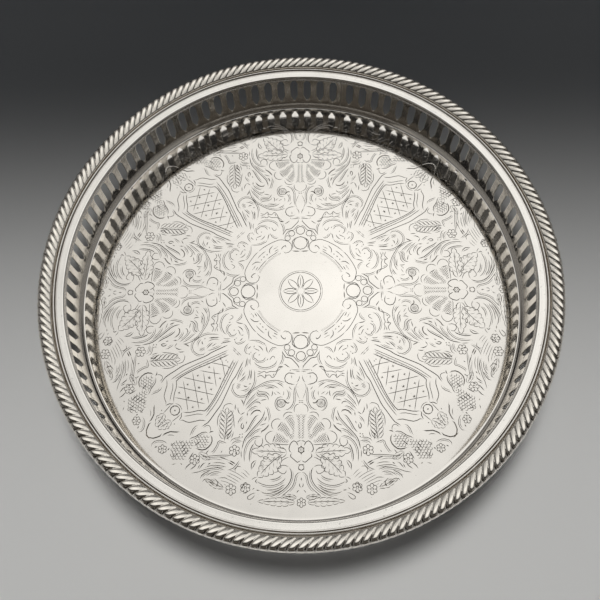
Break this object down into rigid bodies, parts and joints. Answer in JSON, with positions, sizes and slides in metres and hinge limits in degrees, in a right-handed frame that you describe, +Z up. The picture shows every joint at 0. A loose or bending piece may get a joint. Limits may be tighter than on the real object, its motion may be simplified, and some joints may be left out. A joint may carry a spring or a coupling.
{
  "type": "gallery tray",
  "caption": "Round silver-plated serving tray with an engraved floor, an upright pierced gallery and a flat rim edged with a gadroon border.",
  "frame": {"origin": "centre of the base ring's underside, on the table", "axes": "+Z up through the tray's centre; +X and +Y each run through the middle of a shell motif of the engraving"},
  "size_m": [0.3174, 0.3174, 0.04],
  "materials": {
    "engraved_silver": "polished silver plate with fine scratches and bright-cut engraving",
    "gallery_silver": "polished silver plate with brown tarnish low down",
    "rim_silver": "bright polished silver plate",
    "border_silver": "polished lobes with dark tarnish left in the hollows",
    "foot_silver": "worn silver plate",
    "hard_solder": "dull silver solder",
    "soft_filling": "dull tin and lead alloy, hidden"
  },
  "bodies": {
    "root": {"base_ring": "foot_silver", "floor_plate": "engraved_silver", "gallery_strip": "gallery_silver", "gallery_seam": "hard_solder", "rim_flange": "rim_silver", "reed_wire": "rim_silver", "gadroon_shell_1": "border_silver", "gadroon_shell_2": "border_silver", "gadroon_shell_3": "border_silver", "gadroon_shell_4": "border_silver", "gadroon_filling_1": "soft_filling", "gadroon_filling_2": "soft_filling", "gadroon_filling_3": "soft_filling", "gadroon_filling_4": "soft_filling"}
  },
  "joints": []
}
